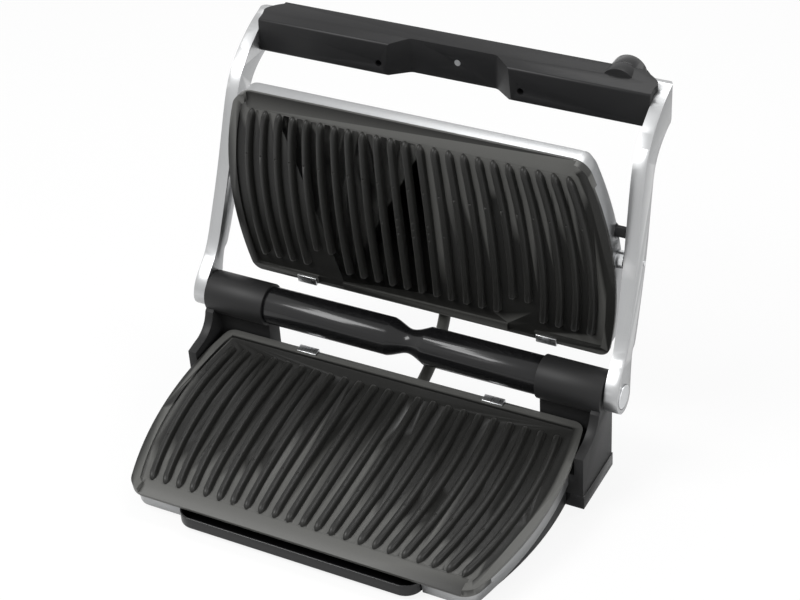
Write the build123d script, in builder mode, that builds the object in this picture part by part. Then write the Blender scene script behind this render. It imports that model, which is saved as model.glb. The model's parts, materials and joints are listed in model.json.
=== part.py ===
from build123d import *
import os
from math import atan2, cos, degrees, radians, sin, tan

# Electric contact grill with two ribbed plates, shown with its lid swung right open.
# Millimetres. +X is the user's right, -Y the front, +Z up, and the table is at Z = 0.

# Grill plates, in a frame whose origin is at the back end of the middle rib's crest:
# x to the side, y towards the hinge, z out of the cooking face
plate_slope = 8.7
plate_crest_height = 62.2
rib_count = 23
rib_pitch_back = 16.5
rib_pitch_middle = 16.95
rib_pitch_front = 15.23
rib_length = 185.0
rib_middle = 75.0
rib_width = 8.6
rib_draft = 16.0
rib_height = 5.8
rib_nose = 9.0
plate_back_edge = 23.5
plate_front_edge = 203.0
plate_back_half = 199.4
plate_widest_half = 209.8
plate_widest_at = 55.0
plate_front_half = 183.0
plate_corner_back = 12.0
plate_corner_front = 20.0
rim_width = 9.0
rim_drop = 3.0
rim_thickness = 4.0
body_inset = 12.0
body_drop = 9.0
lip_depth = 12.0
lip_length = 25.0
spout_drop = 3.4
seat_gap = 0.2

# Release latches in the back rim of each plate
latch_width = 22.0
latch_sheet = 2.0
latch_hook = 7.0
latch_tongue = 11.5
latch_gap = 0.3
lower_latch_x = 104.5
upper_latch_x = 135.0
pad_rib_first = 6
pad_rib_last = 7
pad_length = 22.0

# Heating elements and their reflectors
heater_radius = 3.3
heater_sides = 8
heater_half_width = 142.0
heater_back = -14.0
heater_front = -160.0
heater_bend = 24.0
heater_lead_x = 22.0
heater_lead_end = 2.0
reflector_thickness = 0.8
reflector_half_width = 148.0
reflector_front = -168.0

# Lower housing
shell_inset = 4.0
shell_wall = 2.5
shell_depth = 22.0
pan_wall = 3.0
pan_clearance = 4.0
pan_ledge_half = 149.0
pan_ledge_front = -172.0
pan_deep_half = 140.0
pan_deep_back = -6.0
fit_gap = 0.3

# Drip tray and the bay that it slides in
tray_half_width = 130.0
tray_length = 70.0
tray_overhang = 4.0
tray_height = 13.0
tray_wall = 2.0
tray_corner = 18.0
tray_lift = 4.0
tray_gap = 0.5

# Hinge: axis place measured from the plate origin, then its round pieces
hinge_back = 34.0
hinge_up = 36.8
barrel_radius = 19.6
barrel_half = 152.0
barrel_bore = 9.0
waist_radius = 12.5
waist_centre_x = 8.0
waist_half = 21.0
head_radius = 22.0
shaft_radius = 6.0
shaft_gap = 0.05
bush_radius = 10.0
bush_length = 20.0

# Pedestals and their feet, the profile is measured from the hinge axis
pedestal_outer_x = 219.5
pedestal_flange_x = 210.2
pedestal_front = -61.0
pedestal_shelf = -37.0
pedestal_back = 11.0
column_front = -8.5
foot_height = 17.0
pad_radius = 9.0
pad_height = 4.0
front_pad_x = 158.0
front_pad_back = -152.0
rear_pad_x = 190.0
rear_pad_back = -28.0

# Lid arms, profile measured from the hinge axis with the lid open
arm_inner_x = 221.7
arm_thickness = 13.5
arm_lean = 13.4
arm_lean_height = 260.0
arm_round = 17.0
arm_corner = 30.0
cap_radius = 12.5
cap_recess = 2.5

# Lid motion: the arms swing shut by lid_travel while the housing tips back by housing_travel,
# and its pivots run out along slots in the arms by pivot_travel, so that it clears the barrel
lid_travel = 127.1
housing_travel = 34.3
pivot_travel = 13.0
closed_gap = 2.0
pivot_forward = 89.7
pivot_depth = 19.2
pivot_radius = 8.7
trunnion_radius = 4.0
sleeve_seat_x = 203.8
sleeve_clearance = 1.2
trunnion_length = 9.0
stop_radius = 5.5
stop_flare = 8.0
stop_distance = 28.0
stop_angle = 80.0
stop_seat_x = 200.5
stop_clearance = 0.8

# Upper housing
lid_shell_inset = 2.0
lid_shell_back = 8.0
lid_shell_side = 21.0
lid_shell_crown = 14.0
lid_shell_draft = 40.0
lid_shell_wall = 2.5

# Handle, profile measured from the hinge axis with the lid open
grip_half = 203.0
grip_front = 117.0
grip_low = 224.0
grip_crease_y = 120.0
grip_crease_z = 258.0
grip_top_y = 151.5
grip_top_z = 265.0
cover_back = 165.0
cover_slope_z = 250.0
cover_gap = 0.3
grip_wall = 3.0
grip_round = 3.0
recess_left = -45.0
recess_right = 48.0
recess_shoulder = 22.0
recess_back = 134.0
cavity_front = 138.5
cavity_half = 184.0
bump_x = 171.0
bump_z = 250.5
bump_radius = 18.0
bump_proud = 3.0

# Control panel on the outer face of the handle
panel_thickness = 0.8
panel_left = -165.0
panel_right = 145.0
panel_low = 228.0
panel_high = 246.0
button_z = 237.0
button_radius = 6.5
button_gap = 0.3
button_proud = 0.6
button_flange = 1.5
button_stem = 2.5
button_travel = 1.0
button_pitch = 37.0
first_button_x = -129.0
programme_count = 6
ok_radius = 9.0
ring_radius = 14.0
ring_depth = 2.0
board_front = 149.9
board_thickness = 1.6
board_half = 180.0
board_low = 227.2
board_high = 257.0

# Screws: x, height and the depth of the well's bottom, measured from the hinge axis
grip_screws = ((-73.5, 236.0, 130.0), (5.6, 244.0, 136.0), (79.4, 236.0, 130.0))
screw_well_radius = 3.4
screw_head_radius = 3.2
screw_head_height = 2.0
screw_radius = 1.6
screw_end = 159.0
screw_post_radius = 4.0
arm_screw_place = (63.0, 112.0)
arm_screw_radius = 2.5
arm_screw_depth = 3.0

# Flexible conduit between the two housings, and the cord's inlet
conduit_radius = 6.2
conduit_top_x = 17.0
conduit_bottom_x = 13.0
conduit_top_depth = 19.4
conduit_bottom_depth = 29.0
conduit_leave = 18.0
conduit_arrive = 42.0
boot_radius = 8.0
boot_length = 10.0
inlet_x = -60.0
inlet_radius = 8.0
inlet_flange = 10.5
inlet_length = 13.0
inlet_bore = 3.6
limiter_x = 60.0
limiter_size = (22.0, 12.0, 8.0)

slope_cos = cos(radians(plate_slope))
slope_sin = sin(radians(plate_slope))
floor_drop = rim_drop + 2.8
spout_width = plate_front_half


def turned(point, centre, angle):
    """Turn a (y, z) point about a centre, by the right-hand rule about +X."""
    c, s = cos(radians(angle)), sin(radians(angle))
    dy, dz = point[0] - centre[0], point[1] - centre[1]
    return centre[0] + dy * c - dz * s, centre[1] + dy * s + dz * c


def finish(piece, name):
    """Name a finished piece and write it out."""
    piece.part.label = name
    export_step(piece.part, f"parts/{name}.step")


# The plate origin is set so that the whole grill is centred on the Y axis
front_reach = plate_front_edge * slope_cos + lip_depth * slope_sin + tray_overhang
back_reach = hinge_back + cover_back + bump_proud + button_proud
plate_y = (front_reach - back_reach) / 2
plate_z = plate_crest_height
hinge_y = plate_y + hinge_back
hinge_z = plate_z + hinge_up
tray_front_y = plate_y - front_reach

lower_frame = Plane(origin=(0, plate_y, plate_z), x_dir=(1, 0, 0), z_dir=(0, -slope_sin, slope_cos))

# Closed place of the lid's pivot and plate, then the same turned up to the open rest pose
hinge_point = (hinge_y, hinge_z)
pivot_rise = closed_gap + pivot_depth
pivot_closed = (
    plate_y - pivot_forward * slope_cos - pivot_rise * slope_sin,
    plate_z - pivot_forward * slope_sin + pivot_rise * slope_cos,
)
pivot_point = turned(pivot_closed, hinge_point, -lid_travel)
origin_closed = (plate_y - closed_gap * slope_sin, plate_z + closed_gap * slope_cos)
origin_swung = turned(origin_closed, hinge_point, -lid_travel)
origin_open = turned(origin_swung, pivot_point, housing_travel)
face_open = turned((slope_sin, -slope_cos), (0, 0), housing_travel - lid_travel)
upper_frame = Plane(
    origin=(0, origin_open[0], origin_open[1]),
    x_dir=(-1, 0, 0),
    z_dir=(0, face_open[0], face_open[1]),
)


def side_plane(frame, x=0.0):
    """The plane across a plate frame: its x runs towards the hinge, its y out of the cooking face."""
    origin = frame.origin + frame.x_dir * x
    return Plane(origin=origin, x_dir=frame.y_dir, z_dir=frame.x_dir)


def hinge_plane(x=0.0):
    """A YZ plane with its origin on the hinge axis."""
    return Plane(origin=(x, hinge_y, hinge_z), x_dir=(0, 1, 0), z_dir=(1, 0, 0))


def plate_plan(plane, inset=0.0):
    """The barrel-shaped outline of a plate, drawn in by an inset all round."""
    with BuildSketch(plane) as plan:
        with BuildLine():
            Line((-plate_back_half, plate_back_edge), (plate_back_half, plate_back_edge))
            ThreePointArc(
                (plate_back_half, plate_back_edge),
                (plate_widest_half, -plate_widest_at),
                (plate_front_half, -plate_front_edge),
            )
            Line((plate_front_half, -plate_front_edge), (-plate_front_half, -plate_front_edge))
            ThreePointArc(
                (-plate_front_half, -plate_front_edge),
                (-plate_widest_half, -plate_widest_at),
                (-plate_back_half, plate_back_edge),
            )
        make_face()
        fillet(plan.vertices().group_by(Axis.Y)[-1], plate_corner_back)
        fillet(plan.vertices().group_by(Axis.Y)[0], plate_corner_front)
        if inset:
            offset(amount=-inset)
    return plan.sketch


def rib_plan(plane):
    """The curved ribs, straight in the middle and bowed outwards towards the sides."""
    with BuildSketch(plane) as plan:
        for rib in range(rib_count):
            step = rib - (rib_count - 1) / 2
            back, middle, front = step * rib_pitch_back, step * rib_pitch_middle, step * rib_pitch_front
            half = rib_width / 2
            with BuildLine():
                for side in (-half, half):
                    if step:
                        ThreePointArc(
                            (back + side, 0), (middle + side, -rib_middle), (front + side, -rib_length)
                        )
                    else:
                        Line((side, 0), (side, -rib_length))
                Line((back - half, 0), (back + half, 0))
                Line((front - half, -rib_length), (front + half, -rib_length))
            make_face()
    return plan.sketch


def make_plate(frame, latch_x, pads):
    """A cast plate: rim, gutter, ribs, sloping front apron and lip, with notches for the latches."""
    with BuildPart() as lip:
        extrude(plate_plan(frame.offset(-rim_drop)), amount=rim_drop - lip_depth)
        back_limit = Plane(
            origin=frame.from_local_coords(Vector(0, lip_length - plate_front_edge, 0)),
            z_dir=frame.y_dir,
        )
        split(bisect_by=back_limit, keep=Keep.BOTTOM)

    with BuildPart() as plate:
        extrude(plate_plan(frame.offset(-rim_drop)), amount=-rim_thickness)
        extrude(plate_plan(frame.offset(-rim_drop), body_inset), amount=rim_drop - body_drop)
        add(lip.part)
        # Gutter and valley floor
        gutter = plate_plan(frame.offset(-rim_drop), rim_width)
        extrude(gutter, amount=rim_drop - floor_drop, mode=Mode.SUBTRACT)
        extrude(rib_plan(frame.offset(-floor_drop)), amount=rib_height, taper=rib_draft)
        # Rib noses and the apron that sheds fat over the front lip
        with BuildSketch(side_plane(frame)):
            with BuildLine():
                nose = -rib_length + rib_nose
                outer = -plate_front_edge - 5
                Polyline((nose, rib_height), (nose, 0))
                RadiusArc((nose, 0), (-rib_length - 1.5, -floor_drop), rib_nose + 3)
                Polyline(
                    (-rib_length - 1.5, -floor_drop),
                    (-plate_front_edge, -floor_drop - spout_drop),
                    (outer, -floor_drop - spout_drop),
                    (outer, rib_height),
                    (nose, rib_height),
                )
            make_face()
        extrude(amount=spout_width - rim_width, both=True, mode=Mode.SUBTRACT)
        if pads:
            # Flat pads over the latches, where the outer pairs of ribs stop short
            pad_from = pad_rib_first * rib_pitch_back - rib_width / 2 - 2
            pad_to = pad_rib_last * rib_pitch_back + rib_width / 2 + 2
            with BuildSketch(frame.offset(-floor_drop)):
                with Locations(((pad_from + pad_to) / 2, 0), (-(pad_from + pad_to) / 2, 0)):
                    Rectangle(pad_to - pad_from, 2 * pad_length)
            extrude(amount=rib_height + 1, mode=Mode.SUBTRACT)
        # Latch notches through the back rim
        with BuildSketch(frame.offset(-rim_drop)):
            with Locations((latch_x, plate_back_edge), (-latch_x, plate_back_edge)):
                Rectangle(latch_width + 2 * latch_gap, 2 * (latch_sheet + latch_gap))
        extrude(amount=-rim_thickness, mode=Mode.SUBTRACT)
    return plate


def make_heater(frame):
    """A pressed eight-sided element tube in a flat loop, its two leads leaving towards the hinge."""
    depth = -body_drop - heater_radius - seat_gap
    loop = [
        (-heater_lead_x, heater_lead_end),
        (-heater_lead_x, heater_front / 2),
        (-heater_half_width / 2, heater_front / 2),
        (-heater_half_width / 2, heater_back),
        (-heater_half_width, heater_back),
        (-heater_half_width, heater_front),
    ]
    corners = loop + [(-x, y) for x, y in reversed(loop)]
    with BuildPart() as heater:
        with BuildLine(frame.offset(depth)) as route:
            FilletPolyline(*corners, radius=heater_bend)
        start = Plane(origin=route.line @ 0, z_dir=route.line % 0)
        with BuildSketch(start):
            RegularPolygon(heater_radius, heater_sides, major_radius=False, rotation=180 / heater_sides)
        sweep()
    return heater


def make_reflector(frame):
    """A thin tray of bright sheet under the element."""
    depth = -body_drop - 2 * heater_radius - 2 * seat_gap
    with BuildPart() as sheet:
        with BuildSketch(frame.offset(depth)):
            with Locations((0, reflector_front / 2)):
                RectangleRounded(2 * reflector_half_width, -reflector_front, 15)
            with Locations((heater_lead_x, -3), (-heater_lead_x, -3)):
                Rectangle(4 * heater_radius, 8, mode=Mode.SUBTRACT)
        extrude(amount=-reflector_thickness)
    return sheet


def make_latch(frame, x, tongue):
    """A bent steel latch: hook over the rim, leg behind it and a tongue that slides under it."""
    hook_top = -rim_drop + latch_sheet
    tongue_top = -rim_drop - rim_thickness - seat_gap
    tongue_low = tongue_top - latch_sheet
    leg = plate_back_edge + latch_gap
    with BuildPart() as latch:
        with BuildSketch(side_plane(frame, x - latch_width / 2)):
            with BuildLine():
                Polyline(
                    (leg - latch_hook, -rim_drop + seat_gap),
                    (leg - latch_hook, hook_top),
                    (leg + latch_sheet, hook_top),
                    (leg + latch_sheet, tongue_low),
                    (leg - tongue, tongue_low),
                    (leg - tongue, tongue_top),
                    (leg, tongue_top),
                    (leg, -rim_drop + seat_gap),
                    close=True,
                )
            make_face()
        extrude(amount=latch_width)
    return latch


# Lower grill plate, element, reflector and latches
lower_plate = make_plate(lower_frame, lower_latch_x, False)
finish(lower_plate, "lower_plate")
lower_heater = make_heater(lower_frame)
finish(lower_heater, "lower_heater")
lower_reflector = make_reflector(lower_frame)
finish(lower_reflector, "lower_reflector")
for side, place in (("left", -lower_latch_x), ("right", lower_latch_x)):
    finish(make_latch(lower_frame, place, latch_tongue), f"lower_latch_{side}")

# Heights, from the table, that the lower housing shares
flange_low = -rim_drop - rim_thickness - seat_gap
tray_top = tray_lift + tray_height
bay_top = tray_top + tray_gap + 1
bay_half = tray_half_width + tray_gap
bay_back_y = tray_front_y + tray_length + tray_gap
pedestal_front_y = hinge_y + pedestal_front


def pedestal_room():
    """The two back corners of the lower housing that the pedestals fill."""
    inner = barrel_half - fit_gap
    width = plate_widest_half + 20 - inner
    with BuildSketch(Plane.XY) as room:
        for x in (-inner - width / 2, inner + width / 2):
            with Locations((x, pedestal_front_y - fit_gap + 100)):
                Rectangle(width, 200)
    return room.sketch


def tray_bay():
    """The footprint of the drip tray's bay, run out past the front."""
    with BuildSketch(Plane.XY) as bay:
        with Locations((0, bay_back_y - 60)):
            Rectangle(2 * bay_half, 120)
    return bay.sketch


def latch_slots(frame, latch_x):
    """Slots in a housing's back rim for the latch tongues."""
    with BuildSketch(frame.offset(flange_low + 1)) as slots:
        for x in (-latch_x, latch_x):
            with Locations((x, plate_back_edge - latch_tongue / 2)):
                Rectangle(latch_width + 2 * latch_gap, latch_tongue + 6)
    return slots.sketch


slot_depth = 1 + latch_sheet + 2 * latch_gap

# Silver band round the lower housing
with BuildPart() as base_shell:
    extrude(plate_plan(lower_frame.offset(flange_low), shell_inset), amount=-shell_depth)
    inside = plate_plan(lower_frame.offset(flange_low), shell_inset + shell_wall)
    extrude(inside, amount=-shell_depth, mode=Mode.SUBTRACT)
    # The band ends where the pedestals start
    split(bisect_by=Plane.XZ.offset(fit_gap - pedestal_front_y), keep=Keep.TOP)
    # The front runs up to the plate's lip and stays above the drip tray
    with BuildSketch(lower_frame.offset(-lip_depth - seat_gap)):
        with Locations((0, -plate_front_edge)):
            Rectangle(2 * plate_widest_half, 2 * (lip_length + 1))
    extrude(amount=lip_depth, mode=Mode.SUBTRACT)
    extrude(tray_bay(), amount=bay_top, mode=Mode.SUBTRACT)
finish(base_shell, "base_shell")

# Black base pan: walls round the element, and the roof of the drip tray's bay
with BuildPart() as base_pan:
    pan_plan = plate_plan(lower_frame.offset(flange_low), shell_inset + shell_wall + 0.1)
    extrude(pan_plan, amount=-2 * plate_crest_height)
    split(bisect_by=Plane.XY.offset(pan_clearance), keep=Keep.TOP)
    extrude(pedestal_room(), amount=200, mode=Mode.SUBTRACT)
    # Room for the plate's front lip
    with BuildSketch(lower_frame.offset(-lip_depth - seat_gap)):
        with Locations((0, -plate_front_edge)):
            Rectangle(2 * plate_widest_half, 2 * (lip_length + 1))
    extrude(amount=lip_depth, mode=Mode.SUBTRACT)
    # Shallow ledge that carries the reflector, then the deep well below it
    ledge_depth = body_drop + 2 * heater_radius + 2 * seat_gap + reflector_thickness + 0.1
    with BuildSketch(lower_frame.offset(flange_low)):
        ledge_back = plate_back_edge - body_inset + 1
        with Locations((0, (ledge_back + pan_ledge_front) / 2)):
            RectangleRounded(2 * pan_ledge_half, ledge_back - pan_ledge_front, 12)
    extrude(amount=-ledge_depth - flange_low, mode=Mode.SUBTRACT)
    body_room = plate_plan(lower_frame.offset(flange_low), body_inset - 0.5)
    extrude(body_room, amount=-body_drop - seat_gap - flange_low, mode=Mode.SUBTRACT)
    well_front, well_back = bay_back_y + pan_wall, plate_y + pan_deep_back
    with BuildSketch(Plane.XY.offset(pan_clearance + pan_wall)):
        with Locations((0, (well_front + well_back) / 2)):
            RectangleRounded(2 * pan_deep_half, well_back - well_front, 10)
    extrude(amount=plate_crest_height, mode=Mode.SUBTRACT)
    extrude(tray_bay(), amount=bay_top, mode=Mode.SUBTRACT)
    extrude(latch_slots(lower_frame, lower_latch_x), amount=-slot_depth, mode=Mode.SUBTRACT)
finish(base_pan, "base_pan")

# Drip tray: a shallow box with rounded front corners and a rolled front edge
with BuildPart() as drip_tray:
    for inset, mode in ((0, Mode.ADD), (tray_wall, Mode.SUBTRACT)):
        with BuildSketch(Plane.XY.offset(tray_lift + inset)) as tray_plan:
            with Locations((0, tray_front_y + tray_length / 2)):
                Rectangle(2 * (tray_half_width - inset), tray_length - 2 * inset)
            fillet(tray_plan.vertices().group_by(Axis.Y)[0], tray_corner - inset)
            fillet(tray_plan.vertices().group_by(Axis.Y)[-1], tray_corner / 3 - inset / 2)
        extrude(amount=tray_height, mode=mode)
    fillet(drip_tray.edges().group_by(Axis.Z)[0], tray_wall)
finish(drip_tray, "drip_tray")

# Four rubber pads meet the table: two under the pan, two under the feet
pan_pads = [(x, plate_y + front_pad_back) for x in (-front_pad_x, front_pad_x)]
rear_pads = [(x, hinge_y + rear_pad_back) for x in (-rear_pad_x, rear_pad_x)]
with BuildPart() as rubber_pads:
    with BuildSketch(Plane.XY):
        with Locations(*pan_pads, *rear_pads):
            Circle(pad_radius)
    extrude(amount=pad_height)
finish(rubber_pads, "rubber_pads")


def make_pedestal(side):
    """A side pedestal: outer flange with a swept front, inner column, and the round hinge head."""
    outer, flange, inner = side * pedestal_outer_x, side * pedestal_flange_x, side * barrel_half
    drop = foot_height - hinge_z
    with BuildPart() as pedestal:
        # Outer flange, seen from the side
        with BuildSketch(hinge_plane(flange)):
            with BuildLine():
                Polyline((pedestal_back, drop), (pedestal_front, drop), (pedestal_front, pedestal_shelf))
                Line((pedestal_front, pedestal_shelf), (pedestal_front + 14, pedestal_shelf + 3))
                ThreePointArc(
                    (pedestal_front + 14, pedestal_shelf + 3), (-31, -27), (-head_radius - 0.5, -12)
                )
                Polyline((-head_radius - 0.5, -12), (-10, 0), (pedestal_back, 0), (pedestal_back, drop))
            make_face()
        extrude(amount=outer - flange)
        # Inner column behind the plate
        with BuildSketch(hinge_plane(inner)):
            with BuildLine():
                Polyline(
                    (pedestal_back, drop),
                    (column_front, drop),
                    (column_front, -14),
                    (-14, -10),
                    (-10, 0),
                    (pedestal_back, 0),
                    close=True,
                )
            make_face()
        extrude(amount=outer - inner)
        # Low floor block under the plate's back corner
        with BuildSketch(hinge_plane(inner)):
            with BuildLine():
                Polyline(
                    (column_front, drop),
                    (pedestal_front, drop),
                    (pedestal_front, pedestal_floor_front),
                    (column_front, pedestal_floor_back),
                    close=True,
                )
            make_face()
        extrude(amount=outer - inner)
        # Head around the hinge axis
        with BuildSketch(hinge_plane(inner)):
            Circle(head_radius)
        extrude(amount=outer - inner)
        with BuildSketch(hinge_plane(outer)):
            Circle(bush_radius)
        extrude(amount=(inner - outer) * bush_length / abs(inner - outer), mode=Mode.SUBTRACT)
        with BuildSketch(hinge_plane(inner)):
            Circle(barrel_bore)
        extrude(amount=outer - inner, mode=Mode.SUBTRACT)
    return pedestal


# Room under the tilted plate for the pedestals' floor blocks
plate_under = rim_drop + rim_thickness + 6
pedestal_floor_back = (column_front + hinge_back) * slope_sin - plate_under - hinge_up - 4
pedestal_floor_front = (pedestal_front + hinge_back) * slope_sin - plate_under - hinge_up - 4

for name, side in (("left", -1), ("right", 1)):
    finish(make_pedestal(side), f"pedestal_{name}")
    with BuildPart() as foot:
        with BuildSketch(hinge_plane(side * (barrel_half + 8))):
            with BuildLine():
                low = 1.5 - hinge_z
                top = foot_height - hinge_z - 0.1
                Polyline(
                    (pedestal_back + 1, top),
                    (pedestal_back + 1, low),
                    (pedestal_front, low),
                    (pedestal_front, top),
                    close=True,
                )
            make_face()
        extrude(amount=side * (pedestal_outer_x - barrel_half - 7))
        with BuildSketch(Plane.XY) as pad_seat:
            with Locations((side * rear_pad_x, hinge_y + rear_pad_back)):
                Circle(pad_radius + 0.1)
        extrude(amount=pad_height + 0.1, mode=Mode.SUBTRACT)
    finish(foot, f"foot_{name}")
    with BuildPart() as bush:
        with BuildSketch(hinge_plane(side * pedestal_outer_x)):
            Circle(bush_radius)
            Circle(shaft_radius + shaft_gap, mode=Mode.SUBTRACT)
        extrude(amount=-side * bush_length)
    finish(bush, f"hinge_bush_{name}")

# Hinge barrel: a long round tube, drawn in at its waist, with a bore for the shaft
with BuildPart() as hinge_barrel:
    axle_plane = Plane(origin=(0, hinge_y, hinge_z), x_dir=(1, 0, 0), z_dir=(0, -1, 0))
    with BuildSketch(axle_plane):
        with BuildLine():
            left = waist_centre_x - waist_half
            right = waist_centre_x + waist_half
            middle = (barrel_radius + waist_radius) / 2
            Polyline((-barrel_half, barrel_bore), (-barrel_half, barrel_radius), (left, barrel_radius))
            Spline(
                (left, barrel_radius),
                (waist_centre_x, waist_radius),
                (right, barrel_radius),
                tangents=((1, -0.25), (1, 0.45)),
            )
            Polyline((right, barrel_radius), (barrel_half, barrel_radius), (barrel_half, barrel_bore))
            Line((barrel_half, barrel_bore), (-barrel_half, barrel_bore))
        make_face()
    revolve(axis=Axis((0, hinge_y, hinge_z), (1, 0, 0)))
finish(hinge_barrel, "hinge_barrel")

# Steel shaft that joins the two arms through the barrel
shaft_half = arm_inner_x + arm_thickness / 2
with BuildPart() as hinge_shaft:
    with BuildSketch(hinge_plane(-shaft_half)):
        Circle(shaft_radius)
    extrude(amount=2 * shaft_half)
    chamfer(hinge_shaft.edges().filter_by(GeomType.CIRCLE), 0.8)
finish(hinge_shaft, "hinge_shaft")


def arm_profile(side):
    """The curved outline of a lid arm, from its round end on the hinge to the handle."""
    with BuildSketch(hinge_plane()) as profile:
        with BuildLine():
            front = Spline(
                (-arm_round * 0.97, arm_round * 0.25),
                (7, 36),
                (24, 68),
                (48, 131),
                (66, 186),
                (82, 218),
                (112, 243),
                (146, 258.5),
                tangents=((0.2, 1), (1, 0.35)),
            )
            ThreePointArc((146, 258.5), (160, 252), (163, 238))
            ThreePointArc((163, 238), (158, 227), (146, 223))
            back = Spline(
                (146, 223),
                (122, 216),
                (100, 200),
                (90, 180),
                (73, 128),
                (47, 68),
                (32, 40),
                (arm_round, 0),
                tangents=((-1, -0.1), (-0.2, -1)),
            )
            ThreePointArc(
                (arm_round, 0), (0, -arm_round), (-arm_round * 0.97, arm_round * 0.25)
            )
        make_face()
    return profile.sketch


def arm_inner_at(point):
    """How far out the inner face of an arm is at the height of a (y, z) point."""
    return arm_inner_x - (point[1] - hinge_z) * arm_lean / arm_lean_height


def x_plane(point, x=0.0):
    """A YZ plane with its origin on a (y, z) point."""
    return Plane(origin=(x, point[0], point[1]), x_dir=(0, 1, 0), z_dir=(1, 0, 0))


arm_angle = atan2(pivot_point[1] - hinge_z, pivot_point[0] - hinge_y)
stop_point = turned((pivot_point[0] + stop_distance, pivot_point[1]), pivot_point, stop_angle)
arm_screw_point = (hinge_y + arm_screw_place[0], hinge_z + arm_screw_place[1])
arm_screw_seat = arm_inner_at(arm_screw_point) + arm_thickness - arm_screw_depth


def make_arm(side):
    """A cast lid arm that leans inwards to the handle and turns a rounded corner behind it."""
    lean = arm_lean / arm_lean_height
    low, high, corner_low = -arm_round - 5, cover_slope_z + 40, grip_low - 2
    with BuildPart() as arm:
        extrude(arm_profile(side), amount=side * (arm_inner_x + arm_thickness + 5))
        # Seen from the front: two leaning faces, wider where the arm meets the handle
        front = Plane(origin=(0, hinge_y - 200, hinge_z), x_dir=(1, 0, 0), z_dir=(0, -1, 0))
        with BuildSketch(front):
            with BuildLine():
                Polyline(
                    (side * (arm_inner_x - low * lean), low),
                    (side * (arm_inner_x + arm_thickness - low * lean), low),
                    (side * (arm_inner_x + arm_thickness - high * lean), high),
                    (side * (grip_half - 16), high),
                    (side * (grip_half - 16), corner_low),
                    (side * (arm_inner_x - corner_low * lean), corner_low),
                    close=True,
                )
            make_face()
        extrude(amount=-600, mode=Mode.INTERSECT)
        # Seen from above: the S-shaped joint with the handle and the rounded outer corner
        outer = arm_inner_x + arm_thickness - corner_low * lean
        joint = arm_inner_x - corner_low * lean - 0.2
        above = Plane(origin=(0, hinge_y, hinge_z + corner_low), x_dir=(1, 0, 0), z_dir=(0, 0, 1))
        with BuildSketch(above):
            with BuildLine():
                Polyline((side * joint, 60), (side * joint, 128))
                Spline(
                    (side * joint, 128),
                    (side * (joint + 1.5), 136),
                    (side * (joint - 12), 148),
                    (side * (joint - 14), 170),
                    tangents=((0, 1), (0, 1)),
                )
                Polyline(
                    (side * (joint - 14), 170),
                    (side * (joint - 30), 170),
                    (side * (joint - 30), 60),
                    (side * joint, 60),
                )
            make_face()
        extrude(amount=80, mode=Mode.SUBTRACT)
        with BuildSketch(above):
            with BuildLine():
                Polyline((side * outer, 166 - arm_corner), (side * (outer + 20), 166 - arm_corner))
                Polyline(
                    (side * (outer + 20), 166 - arm_corner),
                    (side * (outer + 20), 190),
                    (side * (outer - arm_corner), 190),
                    (side * (outer - arm_corner), 166),
                )
                RadiusArc(
                    (side * (outer - arm_corner), 166), (side * outer, 166 - arm_corner), side * arm_corner
                )
            make_face()
        extrude(amount=80, mode=Mode.SUBTRACT)
        # Shaft socket, cap recess, and the pivot bore with the slot of its stop
        with BuildSketch(hinge_plane()):
            Circle(shaft_radius)
        extrude(amount=side * shaft_half, mode=Mode.SUBTRACT)
        with BuildSketch(hinge_plane(side * (arm_inner_x + arm_thickness - cap_recess))):
            Circle(cap_radius + 0.1)
        extrude(amount=side * 20, mode=Mode.SUBTRACT)
        with BuildSketch(x_plane(pivot_point)):
            with Locations((pivot_travel / 2 * cos(arm_angle), pivot_travel / 2 * sin(arm_angle))):
                bore = 2 * (trunnion_radius + shaft_gap)
                SlotOverall(pivot_travel + bore, bore, rotation=degrees(arm_angle))
        extrude(amount=side * (arm_inner_x + arm_thickness - 10), mode=Mode.SUBTRACT)
        with BuildSketch(x_plane(arm_screw_point, side * arm_screw_seat)):
            Circle(arm_screw_radius + 0.1)
        extrude(amount=side * 20, mode=Mode.SUBTRACT)
    return arm


for name, side in (("left", -1), ("right", 1)):
    finish(make_arm(side), f"arm_{name}")


# Caps on the ends of the hinge axis
with BuildPart() as pivot_caps:
    for side in (-1, 1):
        base = side * (arm_inner_x + arm_thickness - cap_recess)
        with BuildSketch(hinge_plane(base)):
            Circle(cap_radius)
        extrude(amount=side * (cap_recess + 1))
finish(pivot_caps, "pivot_caps")


def lid_shell_plan(plane, inset=0.0):
    """Outline of the upper housing: the plate's outline with its back trimmed clear of the barrel."""
    plan = plate_plan(plane, lid_shell_inset + inset)
    with BuildSketch(plane) as trimmed:
        add(plane.to_local_coords(plan))
        with Locations((0, plate_back_edge - lid_shell_back - inset + 50)):
            Rectangle(4 * plate_widest_half, 100, mode=Mode.SUBTRACT)
    return trimmed.sketch


# Upper plate, element, reflector and latches
upper_plate = make_plate(upper_frame, upper_latch_x, True)
finish(upper_plate, "upper_plate")
upper_heater = make_heater(upper_frame)
finish(upper_heater, "upper_heater")
upper_reflector = make_reflector(upper_frame)
finish(upper_reflector, "upper_reflector")
for side, place in (("left", upper_latch_x), ("right", -upper_latch_x)):
    finish(make_latch(upper_frame, place, latch_tongue), f"upper_latch_{side}")

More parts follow.
